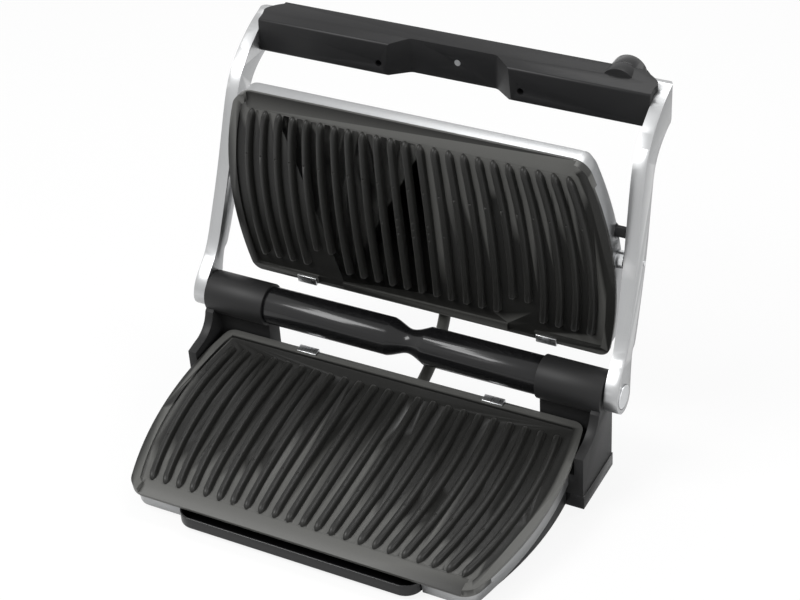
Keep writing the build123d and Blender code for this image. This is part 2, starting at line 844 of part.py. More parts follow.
# Silver upper housing: straight sides, then a crowned back, hollow for the element
shell_top = flange_low
with BuildPart() as upper_shell:
    extrude(lid_shell_plan(upper_frame.offset(shell_top)), amount=-lid_shell_side)
    crown_start = upper_frame.offset(shell_top - lid_shell_side)
    extrude(lid_shell_plan(crown_start), amount=-lid_shell_crown, taper=lid_shell_draft)
    # Back rim that carries the latches, under the plate's flange
    with BuildSketch(upper_frame.offset(shell_top)) as rim:
        add(upper_frame.offset(shell_top).to_local_coords(plate_plan(upper_frame.offset(shell_top), 6.6)))
    extrude(amount=-4)
    extrude(plate_plan(upper_frame.offset(shell_top), body_inset - 0.5), amount=-3, mode=Mode.SUBTRACT)
    well = lid_shell_plan(upper_frame.offset(shell_top), lid_shell_wall + 4)
    extrude(well, amount=-lid_shell_side, mode=Mode.SUBTRACT)
    crown_well = lid_shell_plan(crown_start, lid_shell_wall + 4)
    extrude(crown_well, amount=lid_shell_wall - lid_shell_crown, taper=lid_shell_draft, mode=Mode.SUBTRACT)
    with BuildSketch(upper_frame.offset(-lip_depth - seat_gap)):
        with Locations((0, -plate_front_edge)):
            Rectangle(2 * plate_widest_half, 2 * (lip_length + 0.5))
    extrude(amount=lip_depth, mode=Mode.SUBTRACT)
    extrude(latch_slots(upper_frame, upper_latch_x), amount=-slot_depth, mode=Mode.SUBTRACT)
    # Seats for the pivot sleeves and the stop pins
    for side in (-1, 1):
        for point, seat, radius in (
            (pivot_point, sleeve_seat_x, pivot_radius),
            (stop_point, stop_seat_x, stop_flare),
        ):
            with BuildSketch(x_plane(point, side * seat)):
                Circle(radius + 0.1)
            extrude(amount=side * 20, mode=Mode.SUBTRACT)
finish(upper_shell, "upper_shell")


# Trunnion sleeves on the housing's sides, on which it tips between the arms
with BuildPart() as pivot_sleeves:
    for side in (-1, 1):
        end = arm_inner_at(pivot_point) - sleeve_clearance
        with BuildSketch(x_plane(pivot_point, side * sleeve_seat_x)):
            Circle(pivot_radius)
        extrude(amount=side * (end - sleeve_seat_x))
        with BuildSketch(x_plane(pivot_point, side * end)):
            Circle(trunnion_radius)
        extrude(amount=side * trunnion_length)
finish(pivot_sleeves, "pivot_sleeves")

# Stop pins, which keep the housing centred between the arms
with BuildPart() as stop_pins:
    for side in (-1, 1):
        end = arm_inner_at(stop_point) - stop_clearance
        with BuildSketch(x_plane(stop_point, side * stop_seat_x)):
            Circle(stop_flare)
        extrude(amount=side * 3, taper=35)
        with BuildSketch(x_plane(stop_point, side * stop_seat_x)):
            Circle(stop_radius)
        extrude(amount=side * (end - stop_seat_x))
finish(stop_pins, "stop_pins")

# Screws that hold the arms' bearings, seen on their outer faces
with BuildPart() as arm_screws:
    for side in (-1, 1):
        with BuildSketch(x_plane(arm_screw_point, side * arm_screw_seat)):
            Circle(arm_screw_radius)
        extrude(amount=side * (arm_screw_depth + 0.5))
finish(arm_screws, "arm_screws")

joint_x = arm_inner_x - (grip_low - 2) * arm_lean / arm_lean_height - 0.2


def handle_ends(gap):
    """The handle's outline from above, with S-shaped ends that meet the two arms."""
    edge = joint_x - gap
    with BuildSketch(Plane(origin=(0, hinge_y, hinge_z + grip_low - 10), z_dir=(0, 0, 1))) as ends:
        with BuildLine():
            for side in (-1, 1):
                Line((side * edge, 100), (side * edge, 128))
                Spline(
                    (side * edge, 128),
                    (side * (edge + 1.5), 136),
                    (side * (edge - 12), 148),
                    (side * (edge - 14), 170),
                    tangents=((0, 1), (0, 1)),
                )
            Line((-edge, 100), (edge, 100))
            Line((-edge + 14, 170), (edge - 14, 170))
        make_face()
    return ends.sketch


def front_plane(y, x=0.0, z=0.0):
    """A plane facing the front, at a place measured from the hinge axis."""
    return Plane(origin=(x, hinge_y + y, hinge_z + z), x_dir=(1, 0, 0), z_dir=(0, -1, 0))


def back_plane(y, x=0.0, z=0.0):
    """A plane facing the back, at a place measured from the hinge axis."""
    return Plane(origin=(x, hinge_y + y, hinge_z + z), x_dir=(-1, 0, 0), z_dir=(0, 1, 0))


# Inner half of the handle, with the finger recess and the housing of the indicator
with BuildPart() as handle_grip:
    with BuildSketch(hinge_plane(-grip_half - 20)) as section:
        with BuildLine():
            Polyline(
                (grip_front, grip_low),
                (grip_crease_y, grip_crease_z),
                (grip_top_y, grip_top_z),
                (grip_top_y, grip_low),
                close=True,
            )
        make_face()
        fillet(section.vertices().sort_by(Axis.X)[:2], grip_round)
    extrude(amount=2 * grip_half + 40)
    with BuildSketch(front_plane(grip_top_y, bump_x, bump_z)):
        Circle(bump_radius)
    extrude(amount=14)
    extrude(handle_ends(0.2), amount=100, mode=Mode.INTERSECT)
    # Finger recess in the front face
    with BuildSketch(Plane(origin=(0, hinge_y, hinge_z + grip_low - 5), z_dir=(0, 0, 1))) as recess:
        with BuildLine():
            Polyline(
                (recess_left - recess_shoulder, grip_front - 10),
                (recess_left - recess_shoulder, grip_front),
                (recess_left, recess_back),
                (recess_right, recess_back),
                (recess_right + recess_shoulder, grip_front),
                (recess_right + recess_shoulder, grip_front - 10),
                close=True,
            )
        make_face()
        fillet(recess.vertices().group_by(Axis.Y)[-1], 9)
    extrude(amount=60, mode=Mode.SUBTRACT)
    # Cavity for the control board, open towards the cover
    with BuildSketch(hinge_plane(-cavity_half)):
        with BuildLine():
            Polyline(
                (cavity_front, grip_low + grip_wall),
                (cavity_front, grip_crease_z - 2),
                (grip_top_y, grip_top_z - 2 * grip_wall),
                (grip_top_y, grip_low + grip_wall),
                close=True,
            )
        make_face()
    extrude(amount=2 * cavity_half, mode=Mode.SUBTRACT)
    # Screw posts, wells and holes
    for x, z, bottom in grip_screws:
        with BuildSketch(front_plane(board_front, x, z)):
            Circle(screw_post_radius)
        extrude(amount=board_front - cavity_front)
        with BuildSketch(front_plane(bottom, x, z)):
            Circle(screw_well_radius)
        extrude(amount=40, mode=Mode.SUBTRACT)
        with BuildSketch(front_plane(board_front, x, z)):
            Circle(screw_radius + button_gap)
        extrude(amount=board_front - bottom, mode=Mode.SUBTRACT)
finish(handle_grip, "handle_grip")

# Where the buttons sit: name, x, height, radius and the face they stand out of
panel_face = cover_back + panel_thickness
buttons = [("power_button", first_button_x, button_z, button_radius, panel_face)]
for number in range(1, programme_count + 1):
    place = first_button_x + number * button_pitch
    buttons.append((f"programme_button_{number}", place, button_z, button_radius, panel_face))
buttons.append(("ok_button", bump_x, bump_z, ok_radius, cover_back + bump_proud))
flange_face = cover_back - grip_wall - 0.1

# Outer half of the handle, which carries the control panel
seam = grip_top_y + cover_gap
with BuildPart() as handle_cover:
    with BuildSketch(hinge_plane(-grip_half - 20)):
        with BuildLine():
            Polyline(
                (seam, grip_low),
                (seam, grip_top_z),
                (cover_back, cover_slope_z),
                (cover_back, grip_low + 2),
                (cover_back - 3, grip_low),
                close=True,
            )
        make_face()
    extrude(amount=2 * grip_half + 40)
    with BuildSketch(back_plane(seam, bump_x, bump_z)):
        Circle(bump_radius)
    extrude(amount=cover_back + bump_proud - seam)
    extrude(handle_ends(0.2), amount=100, mode=Mode.INTERSECT)
    with BuildSketch(hinge_plane(-cavity_half)):
        with BuildLine():
            Polyline(
                (seam, grip_low + grip_wall),
                (seam, grip_top_z - 2 * grip_wall),
                (cover_back - grip_wall, cover_slope_z - 4),
                (cover_back - grip_wall, grip_low + grip_wall),
                close=True,
            )
        make_face()
    extrude(amount=2 * cavity_half, mode=Mode.SUBTRACT)
    for x, z, bottom in grip_screws:
        with BuildSketch(back_plane(seam, x, z)):
            Circle(screw_post_radius)
        extrude(amount=cover_back - grip_wall - seam)
        with BuildSketch(back_plane(seam, x, z)):
            Circle(screw_radius + shaft_gap)
        extrude(amount=screw_end + 0.2 - seam, mode=Mode.SUBTRACT)
    # Holes for the buttons, room for the flange of the largest, and the ring's recess
    for label, x, z, radius, face in buttons:
        with BuildSketch(back_plane(seam, x, z)):
            Circle(radius + button_gap)
        extrude(amount=cover_back + bump_proud - seam, mode=Mode.SUBTRACT)
    with BuildSketch(back_plane(seam, bump_x, bump_z)):
        Circle(ok_radius + button_flange + button_gap)
    extrude(amount=cover_back - grip_wall - seam, mode=Mode.SUBTRACT)
    with BuildSketch(front_plane(cover_back + bump_proud, bump_x, bump_z)):
        Circle(ring_radius + 0.1)
    extrude(amount=ring_depth, mode=Mode.SUBTRACT)
finish(handle_cover, "handle_cover")

# Thin overlay of the control panel
with BuildPart() as control_panel:
    middle = ((panel_left + panel_right) / 2, (panel_low + panel_high) / 2)
    with BuildSketch(back_plane(cover_back, *middle)):
        RectangleRounded(panel_right - panel_left, panel_high - panel_low, 4)
    extrude(amount=panel_thickness)
    for label, x, z, radius, face in buttons[:-1]:
        with BuildSketch(back_plane(cover_back, x, z)):
            Circle(radius + button_gap)
        extrude(amount=panel_thickness, mode=Mode.SUBTRACT)
finish(control_panel, "control_panel")

# Light ring round the round button
with BuildPart() as indicator_ring:
    with BuildSketch(front_plane(cover_back + bump_proud, bump_x, bump_z)):
        Circle(ring_radius)
        Circle(ok_radius + button_gap, mode=Mode.SUBTRACT)
    extrude(amount=ring_depth)
finish(indicator_ring, "indicator_ring")

# Push buttons: cap, the flange that holds it in, and a stem down to its switch
stem_end = board_front + board_thickness + button_travel + 0.1
for label, x, z, radius, face in buttons:
    with BuildPart() as button:
        with BuildSketch(back_plane(flange_face, x, z)):
            Circle(radius)
        extrude(amount=face + button_proud - flange_face)
        with BuildSketch(back_plane(flange_face, x, z)):
            Circle(radius + button_flange)
        extrude(amount=-button_flange)
        with BuildSketch(back_plane(stem_end, x, z)):
            Circle(button_stem)
        extrude(amount=flange_face - stem_end)
    finish(button, label)

# Control board on the screw posts
with BuildPart() as control_board:
    with BuildSketch(back_plane(board_front, 0, (board_low + board_high) / 2)):
        Rectangle(2 * board_half, board_high - board_low)
    extrude(amount=board_thickness)
    for x, z, bottom in grip_screws:
        with BuildSketch(back_plane(board_front, x, z)):
            Circle(screw_radius + button_gap)
        extrude(amount=board_thickness, mode=Mode.SUBTRACT)
finish(control_board, "control_board")

with BuildPart() as handle_screws:
    for x, z, bottom in grip_screws:
        with BuildSketch(front_plane(bottom, x, z)):
            Circle(screw_head_radius)
        extrude(amount=screw_head_height)
        with BuildSketch(back_plane(bottom, x, z)):
            Circle(screw_radius)
        extrude(amount=screw_end - bottom)
finish(handle_screws, "handle_screws")

# Conduit: it leaves the lid's end face and turns round behind the barrel to the pan's back wall
shell_end = plate_back_edge - lid_shell_back
pan_back = plate_back_edge - shell_inset - shell_wall - 0.1
conduit_top = upper_frame.from_local_coords(Vector(-conduit_top_x, shell_end, -conduit_top_depth))
conduit_bottom = lower_frame.from_local_coords(Vector(conduit_bottom_x, pan_back, -conduit_bottom_depth))
conduit_route = [
    conduit_top,
    conduit_top + upper_frame.y_dir * conduit_leave,
    conduit_bottom + lower_frame.y_dir * conduit_arrive,
    conduit_bottom,
]


def bend_radii(corners):
    """Radii that let each arc take 0.45 of the shorter run beside its corner."""
    radii = []
    for before, corner, after in zip(corners, corners[1:], corners[2:]):
        run_in, run_out = corner - before, after - corner
        turn = radians(run_in.get_angle(run_out))
        radii.append(0.45 * min(run_in.length, run_out.length) / tan(turn / 2))
    return radii


conduit_bends = bend_radii(conduit_route)
conduit_split = Plane(
    origin=(conduit_route[1] + conduit_route[2]) / 2, z_dir=conduit_route[2] - conduit_route[1]
)
for name, kept in (("upper", Keep.BOTTOM), ("lower", Keep.TOP)):
    with BuildPart() as conduit:
        with BuildLine() as route:
            FilletPolyline(*conduit_route, radius=conduit_bends)
        with BuildSketch(Plane(origin=conduit_top, z_dir=upper_frame.y_dir)):
            Circle(conduit_radius)
        sweep()
        split(bisect_by=conduit_split, keep=kept)
    finish(conduit, f"conduit_{name}")

# Rubber boots where the conduit enters the two housings
for name, start, along in (
    ("upper", conduit_top, upper_frame.y_dir),
    ("lower", conduit_bottom, lower_frame.y_dir),
):
    with BuildPart() as boot:
        with BuildSketch(Plane(origin=start, z_dir=along)):
            Circle(boot_radius)
            Circle(conduit_radius + shaft_gap, mode=Mode.SUBTRACT)
        extrude(amount=boot_length)
    finish(boot, f"{name}_boot")

# Inlet for the mains cord in the pan's back wall
with BuildPart() as cord_inlet:
    inlet_origin = lower_frame.from_local_coords(Vector(inlet_x, pan_back, -conduit_bottom_depth))
    with BuildSketch(Plane(origin=inlet_origin, z_dir=lower_frame.y_dir)):
        Circle(inlet_flange)
    extrude(amount=2)
    with BuildSketch(Plane(origin=inlet_origin, z_dir=lower_frame.y_dir)):
        Circle(inlet_radius)
    extrude(amount=inlet_length, taper=8)
    with BuildSketch(Plane(origin=inlet_origin, z_dir=lower_frame.y_dir)):
        Circle(inlet_bore)
    extrude(amount=inlet_length, mode=Mode.SUBTRACT)
finish(cord_inlet, "cord_inlet")

# Thermal limiter on the floor of the pan's well
with BuildPart() as thermal_limiter:
    with BuildSketch(Plane.XY.offset(pan_clearance + pan_wall)):
        with Locations((limiter_x, (well_front + well_back) / 2)):
            RectangleRounded(limiter_size[0], limiter_size[1], 2)
    extrude(amount=limiter_size[2])
finish(thermal_limiter, "thermal_limiter")
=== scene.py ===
import json
from math import cos, radians, sin

import bpy
from mathutils import Matrix, Vector


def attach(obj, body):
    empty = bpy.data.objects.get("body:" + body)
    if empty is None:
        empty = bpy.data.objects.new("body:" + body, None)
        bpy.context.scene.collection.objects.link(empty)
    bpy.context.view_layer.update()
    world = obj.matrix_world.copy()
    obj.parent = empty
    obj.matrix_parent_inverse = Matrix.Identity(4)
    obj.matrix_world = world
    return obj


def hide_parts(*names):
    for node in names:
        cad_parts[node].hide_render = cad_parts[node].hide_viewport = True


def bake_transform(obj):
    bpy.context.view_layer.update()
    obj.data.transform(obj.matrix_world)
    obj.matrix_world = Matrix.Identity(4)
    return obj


# Electric contact grill with its lid swung open, in metres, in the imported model's frame.
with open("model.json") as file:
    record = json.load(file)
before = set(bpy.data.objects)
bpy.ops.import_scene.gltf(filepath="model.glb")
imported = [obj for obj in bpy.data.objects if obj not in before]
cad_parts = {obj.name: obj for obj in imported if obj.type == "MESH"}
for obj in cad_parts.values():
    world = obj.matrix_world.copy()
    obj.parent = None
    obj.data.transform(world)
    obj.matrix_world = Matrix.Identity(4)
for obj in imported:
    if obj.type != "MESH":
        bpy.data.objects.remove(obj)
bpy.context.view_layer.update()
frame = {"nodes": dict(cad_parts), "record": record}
scene = bpy.context.scene

PLATE_SLOPE = radians(8.7)
LOWER_ORIGIN = Vector((0, 0.00194, 0.0622))
UPPER_ORIGIN = Vector((0, 0.078532, 0.125939))
LOWER_OUT = Vector((0, -sin(PLATE_SLOPE), cos(PLATE_SLOPE)))
UPPER_OUT = Vector((0, -0.994703, -0.102793))
RIB_COUNT = 23
RIB_PITCHES = (0.0165, 0.01695, 0.01523)
RIB_STATIONS = (0.0, 0.075, 0.185)
RIB_FLOOR = 0.0058
RIB_HALF_FOOT = 0.0043
RIB_HALF_CREST = 0.0029
RIB_STEPS = range(-(RIB_COUNT // 2), RIB_COUNT // 2 + 1)
RIB_SHARPNESS = 0.8
RIB_SWELL = ((0, 0.55), (0.0004, 0.78), (0.0012, 0.92), (0.003, 1.0))
RIB_NOSE = ((0.177, 1.0), (0.180, 0.93), (0.1825, 0.8), (0.1845, 0.58), (0.1857, 0.3), (0.1862, 0.05))
RIB_STRAIGHT_END = 0.174
RIB_PARTS = 18
PLAIN_RIB_HEIGHT = 0.0002
PLAIN_RIB_BACK = -0.0008
PLAIN_RIB_FRONT = 0.1872
PLAIN_RIB_ROOM = 0.0004
PAD_STEPS = (6, 7)
PAD_LENGTH = 0.022
PIT_RADIUS = 0.0016
PIT_RISE = 0.0006
PIT_ROW = 0.132
PIT_CLUSTER = 0.083
PIT_SHIFT = 0.009
MERGE_GAP = 0.000002
SMOOTH_ANGLE = radians(38)
RIB_SMOOTH_ANGLE = radians(50)


def only(piece):
    """Select one object alone and make it the active one."""
    bpy.ops.object.select_all(action="DESELECT")
    piece.select_set(True)
    bpy.context.view_layer.objects.active = piece


def merge_points(piece):
    """Join the points of a mesh that lie in one place, and stay in edit mode."""
    only(piece)
    bpy.ops.object.mode_set(mode="EDIT")
    bpy.ops.mesh.select_all(action="SELECT")
    bpy.ops.mesh.remove_doubles(threshold=MERGE_GAP)


# Shader groups


def shader_group(name, inputs, outputs):
    """A new shader node group with its sockets, and its input and output nodes."""
    group = bpy.data.node_groups.new(name, "ShaderNodeTree")
    for label, kind, value in inputs:
        socket = group.interface.new_socket(label, in_out="INPUT", socket_type=kind)
        socket.default_value = value
    for label, kind in outputs:
        group.interface.new_socket(label, in_out="OUTPUT", socket_type=kind)
    return group, group.nodes.new("NodeGroupInput"), group.nodes.new("NodeGroupOutput")


def grain_group():
    """Fine moulded or cast grain: a slow drift and a fine texture, both from 0 to 1."""
    group, entry, leave = shader_group(
        "Moulded grain",
        (("Grain size", "NodeSocketFloat", 900.0), ("Drift size", "NodeSocketFloat", 18.0)),
        (("Grain", "NodeSocketFloat"), ("Drift", "NodeSocketFloat")),
    )
    place = group.nodes.new("ShaderNodeTexCoord")
    for label, size in (("Grain", "Grain size"), ("Drift", "Drift size")):
        noise = group.nodes.new("ShaderNodeTexNoise")
        noise.inputs["Detail"].default_value = 3
        group.links.new(place.outputs["Object"], noise.inputs["Vector"])
        group.links.new(entry.outputs[size], noise.inputs["Scale"])
        group.links.new(noise.outputs["Fac"], leave.inputs[label])
    return group


def painted_highlight_group():
    """A mask that is 1 along convex edges, where the colour is lightened as a painted highlight."""
    group, entry, leave = shader_group(
        "Painted edge highlight",
        (("From", "NodeSocketFloat", 0.52), ("To", "NodeSocketFloat", 0.6)),
        (("Edge", "NodeSocketFloat"),),
    )
    shape = group.nodes.new("ShaderNodeNewGeometry")
    span = group.nodes.new("ShaderNodeMapRange")
    group.links.new(shape.outputs["Pointiness"], span.inputs["Value"])
    group.links.new(entry.outputs["From"], span.inputs["From Min"])
    group.links.new(entry.outputs["To"], span.inputs["From Max"])
    group.links.new(span.outputs["Result"], leave.inputs["Edge"])
    return group


def speckle_group():
    """Fine pale flecks, as in a stone-look non-stick coating."""
    group, entry, leave = shader_group(
        "Coating flecks",
        (("Fleck size", "NodeSocketFloat", 1400.0), ("Amount", "NodeSocketFloat", 0.3)),
        (("Fleck", "NodeSocketFloat"),),
    )
    place = group.nodes.new("ShaderNodeTexCoord")
    cells = group.nodes.new("ShaderNodeTexVoronoi")
    span = group.nodes.new("ShaderNodeMapRange")
    span.inputs["From Min"].default_value = 0.0
    span.inputs["To Min"].default_value = 1.0
    span.inputs["To Max"].default_value = 0.0
    group.links.new(place.outputs["Object"], cells.inputs["Vector"])
    group.links.new(entry.outputs["Fleck size"], cells.inputs["Scale"])
    group.links.new(cells.outputs["Distance"], span.inputs["Value"])
    group.links.new(entry.outputs["Amount"], span.inputs["From Max"])
    group.links.new(span.outputs["Result"], leave.inputs["Fleck"])
    return group


def brushed_group():
    """Long fine lines across X, as left by a sanding belt."""
    group, entry, leave = shader_group(
        "Brushed lines",
        (("Across", "NodeSocketFloat", 1800.0), ("Along", "NodeSocketFloat", 25.0)),
        (("Line", "NodeSocketFloat"),),
    )
    place = group.nodes.new("ShaderNodeTexCoord")
    stretch = group.nodes.new("ShaderNodeMapping")
    size = group.nodes.new("ShaderNodeCombineXYZ")
    noise = group.nodes.new("ShaderNodeTexNoise")
    noise.inputs["Scale"].default_value = 1.0
    group.links.new(entry.outputs["Across"], size.inputs["X"])
    group.links.new(entry.outputs["Along"], size.inputs["Y"])
    group.links.new(entry.outputs["Along"], size.inputs["Z"])
    group.links.new(size.outputs["Vector"], stretch.inputs["Scale"])
    group.links.new(place.outputs["Object"], stretch.inputs["Vector"])
    group.links.new(stretch.outputs["Vector"], noise.inputs["Vector"])
    group.links.new(noise.outputs["Fac"], leave.inputs["Line"])
    return group


GRAIN = grain_group()
# Painted highlight mask: 1 along convex edges.
PAINTED_HIGHLIGHT = painted_highlight_group()
SPECKLE = speckle_group()
BRUSHED = brushed_group()


# Materials


class Finish:
    """A material being put together: its Principled shader and short ways to add an effect."""

    def __init__(self, name, colour, roughness, metallic=0.0, coat=0.0):
        self.material = bpy.data.materials.new(name)
        self.material.use_nodes = True
        self.nodes = self.material.node_tree.nodes
        self.links = self.material.node_tree.links
        self.shader = self.nodes["Principled BSDF"]
        self.colour = (*colour, 1)
        self.shader.inputs["Base Color"].default_value = self.colour
        self.shader.inputs["Roughness"].default_value = roughness
        self.shader.inputs["Metallic"].default_value = metallic
        self.shader.inputs["Coat Weight"].default_value = coat
        self.shader.inputs["Specular IOR Level"].default_value = 0.5 if metallic else 0.22
        self.shader.inputs["Coat Roughness"].default_value = 0.08
        self.colour_from = None

    def effect(self, group, **values):
        """Place a shader group with its own values."""
        node = self.nodes.new("ShaderNodeGroup")
        node.node_tree = group
        for label, value in values.items():
            node.inputs[label.replace("_", " ")].default_value = value
        return node

    def blend_colour(self, mask, colour, amount):
        """Mix another colour in by a mask, up to an amount."""
        scale = self.nodes.new("ShaderNodeMath")
        scale.operation = "MULTIPLY"
        scale.inputs[1].default_value = amount
        self.links.new(mask, scale.inputs[0])
        mix = self.nodes.new("ShaderNodeMix")
        mix.data_type = "RGBA"
        mix.inputs["A"].default_value = self.colour
        mix.inputs["B"].default_value = (*colour, 1)
        if self.colour_from:
            self.links.new(self.colour_from, mix.inputs["A"])
        self.links.new(scale.outputs["Value"], mix.inputs["Factor"])
        self.colour_from = mix.outputs["Result"]
        self.links.new(self.colour_from, self.shader.inputs["Base Color"])

    def vary_roughness(self, mask, low, high):
        """Let the roughness follow a mask between two values."""
        span = self.nodes.new("ShaderNodeMapRange")
        span.inputs["To Min"].default_value = low
        span.inputs["To Max"].default_value = high
        self.links.new(mask, span.inputs["Value"])
        self.links.new(span.outputs["Result"], self.shader.inputs["Roughness"])

    def bump(self, height, depth):
        """Raise the surface by a mask, to a depth in metres."""
        bump = self.nodes.new("ShaderNodeBump")
        bump.inputs["Distance"].default_value = depth
        bump.inputs["Strength"].default_value = 0.6
        self.links.new(height, bump.inputs["Height"])
        self.links.new(bump.outputs["Normal"], self.shader.inputs["Normal"])


def plate_coating():
    """Dark non-stick coating with fine flecks, and a painted highlight that makes the edges a little
    brighter.
    """
    finish = Finish("Plate coating", (0.013, 0.013, 0.0123), 0.34)
    flecks = finish.effect(SPECKLE, Fleck_size=1500.0, Amount=0.34)
    grain = finish.effect(GRAIN, Grain_size=1300.0, Drift_size=14.0)
    edge_highlight = finish.effect(PAINTED_HIGHLIGHT, From=0.53, To=0.62)
    finish.blend_colour(flecks.outputs["Fleck"], (0.12, 0.12, 0.115), 0.35)
    finish.blend_colour(grain.outputs["Drift"], (0.02, 0.02, 0.0185), 0.5)
    # Painted highlight: the convex edges take a lighter grey.
    finish.blend_colour(edge_highlight.outputs["Edge"], (0.2, 0.2, 0.19), 0.45)
    finish.vary_roughness(grain.outputs["Grain"], 0.3, 0.46)
    finish.bump(grain.outputs["Grain"], 0.00012)
    return finish.material


def plastic(name, colour, roughness, coat=0.0, grain=900.0, depth=0.00004):
    """A moulded plastic or rubber with a fine grain and a slight drift in tone."""
    finish = Finish(name, colour, roughness, coat=coat)
    texture = finish.effect(GRAIN, Grain_size=grain, Drift_size=20.0)
    finish.blend_colour(texture.outputs["Drift"], [value * 1.35 + 0.002 for value in colour], 0.5)
    finish.vary_roughness(texture.outputs["Grain"], roughness - 0.04, roughness + 0.06)
    finish.bump(texture.outputs["Grain"], depth)
    return finish.material


def metal(name, colour, roughness, across=1800.0, depth=0.00001):
    """A satin metal with fine brushed lines, and a painted highlight that makes the edges brighter."""
    finish = Finish(name, colour, roughness, metallic=1.0)
    lines = finish.effect(BRUSHED, Across=across, Along=25.0)
    edge_highlight = finish.effect(PAINTED_HIGHLIGHT, From=0.53, To=0.62)
    finish.blend_colour(lines.outputs["Line"], [value * 0.86 for value in colour], 0.5)
    # Painted highlight: the convex edges take a near-white grey.
    finish.blend_colour(edge_highlight.outputs["Edge"], (0.9, 0.9, 0.9), 0.35)
    finish.vary_roughness(lines.outputs["Line"], roughness - 0.05, roughness + 0.07)
    finish.bump(lines.outputs["Line"], depth)
    return finish.material


MATERIALS = {
    "plate_coating": plate_coating(),
    "silver_housing": metal("Silver housing", (0.36, 0.365, 0.37), 0.36),
    "arm_metal": metal("Arm metal", (0.44, 0.445, 0.45), 0.34),
    "bright_steel": metal("Bright steel", (0.66, 0.67, 0.68), 0.28),
    "element_steel": metal("Element steel", (0.16, 0.155, 0.15), 0.45),
    "reflector_sheet": metal("Reflector sheet", (0.7, 0.71, 0.72), 0.25),
    "gloss_black": plastic("Glossy black", (0.005, 0.005, 0.0055), 0.24, coat=0.3, depth=0.000008),
    "satin_black": plastic("Satin black", (0.009, 0.009, 0.0095), 0.4),
    "pedestal_grey": plastic("Matt dark grey", (0.014, 0.014, 0.0143), 0.46),
    "panel_film": plastic("Panel film", (0.008, 0.008, 0.009), 0.18, coat=0.5, depth=0.000005),
    "button_grey": plastic("Button grey", (0.09, 0.095, 0.1), 0.4),
    "ring_lens": plastic("Ring lens", (0.55, 0.58, 0.6), 0.35, coat=0.2),
    "board_green": plastic("Board green", (0.01, 0.07, 0.03), 0.4),
    "rubber_black": plastic("Black rubber", (0.014, 0.014, 0.014), 0.62, grain=600.0),
    "conduit_grey": plastic("Conduit grey", (0.06, 0.06, 0.055), 0.4, grain=700.0),
    "bearing_plastic": plastic("Bearing plastic", (0.6, 0.58, 0.52), 0.4),
    "limiter_ceramic": plastic("Limiter ceramic", (0.7, 0.68, 0.63), 0.5),
}

slot_of = {entry["node"]: entry["material_slot"] for entry in frame["record"]["subparts"]}
bodies = frame["record"]["behaviour"]["bodies"]
body_of = {node: body for body, nodes in bodies.items() for node in nodes}


def paint(piece, slot):
    """Give a piece one material."""
    piece.data.materials.clear()
    piece.data.materials.append(MATERIALS[slot])


def settle(piece, node, name):
    """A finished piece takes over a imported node: its finish, its body and its place."""
    piece.name = name
    paint(piece, slot_of[node])
    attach(piece, body_of[node])
    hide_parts(node)


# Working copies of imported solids


def clean_copy(node):
    """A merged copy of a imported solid, with its flat faces joined up."""
    source = frame["nodes"][node]
    piece = bpy.data.objects.new(node + "_copy", source.data.copy())
    scene.collection.objects.link(piece)
    merge_points(piece)
    bpy.ops.mesh.dissolve_limited(angle_limit=radians(0.6))
    bpy.ops.object.mode_set(mode="OBJECT")
    return piece


def use(piece, kind, **values):
    """Add a modifier and apply it at once."""
    only(piece)
    modifier = piece.modifiers.new(kind.title(), kind)
    for label, value in values.items():
        setattr(modifier, label, value)
    bpy.ops.object.modifier_apply(modifier=modifier.name)


def round_edges(piece, width, segments=2, angle=28):
    """Round the sharp edges and smooth what is left."""
    use(
        piece,
        "BEVEL",
        width=width,
        segments=segments,
        limit_method="ANGLE",
        angle_limit=radians(angle),
        use_clamp_overlap=True,
        miter_outer="MITER_ARC",
    )
    bpy.ops.object.shade_smooth_by_angle(angle=SMOOTH_ANGLE)


# Grill plates


def rib_offset(step, back):
    """How far from the middle a rib's centre line lies, at a distance from its back end."""
    total = 0.0
    for pitch, here in zip(RIB_PITCHES, RIB_STATIONS):
        share = 1.0
        for other in RIB_STATIONS:
            if other != here:
                share *= (back - other) / (here - other)
        total += step * pitch * share
    return total


def dimple_cutter(origin, out, side):
    """Small balls where each rib has a shallow pit: one row, and a cluster in the middle."""
    towards_hinge = out.cross(side)
    places = [(step, PIT_ROW) for step in RIB_STEPS]
    places += [(step, PIT_CLUSTER) for step in range(-2, 3)]
    places += [(step, PIT_CLUSTER + shift) for step in (-1, 0, 1) for shift in (-PIT_SHIFT, PIT_SHIFT)]
    balls = []
    for step, back in places:
        spot = origin + side * rib_offset(step, back) - towards_hinge * back + out * PIT_RISE
        bpy.ops.mesh.primitive_ico_sphere_add(subdivisions=2, radius=PIT_RADIUS, location=spot)
        balls.append(bpy.context.object)
    bpy.ops.object.select_all(action="DESELECT")
    for ball in balls:
        ball.select_set(True)
    bpy.context.view_layer.objects.active = balls[0]
    bpy.ops.object.join()
    cutter = bpy.context.object
    bpy.ops.object.transform_apply(location=True, rotation=True, scale=True)
    return cutter


def rib_profile():
    """Half round crest on a foot with sloping sides, drawn as a closed flat curve."""
    drawing = bpy.data.curves.new("rib_profile", "CURVE")
    drawing.dimensions = "2D"
    outline = drawing.splines.new("POLY")
    corners = [(RIB_HALF_FOOT, -0.0001), (RIB_HALF_FOOT, 0.0003), (RIB_HALF_CREST + 0.0004, 0.0038)]
    for degrees in (15, 35, 55, 75, 90):
        turn = radians(degrees)
        corners.append((RIB_HALF_CREST * cos(turn) ** RIB_SHARPNESS, 0.004 + 0.0018 * sin(turn)))
    corners += [(-x, z) for x, z in reversed(corners[:-1])]
    outline.points.add(len(corners) - 1)
    for point, (x, z) in zip(outline.points, corners):
        point.co = (x, z, 0, 1)
    outline.use_cyclic_u = True
    profile = bpy.data.objects.new("rib_profile", drawing)
    scene.collection.objects.link(profile)
    return profile


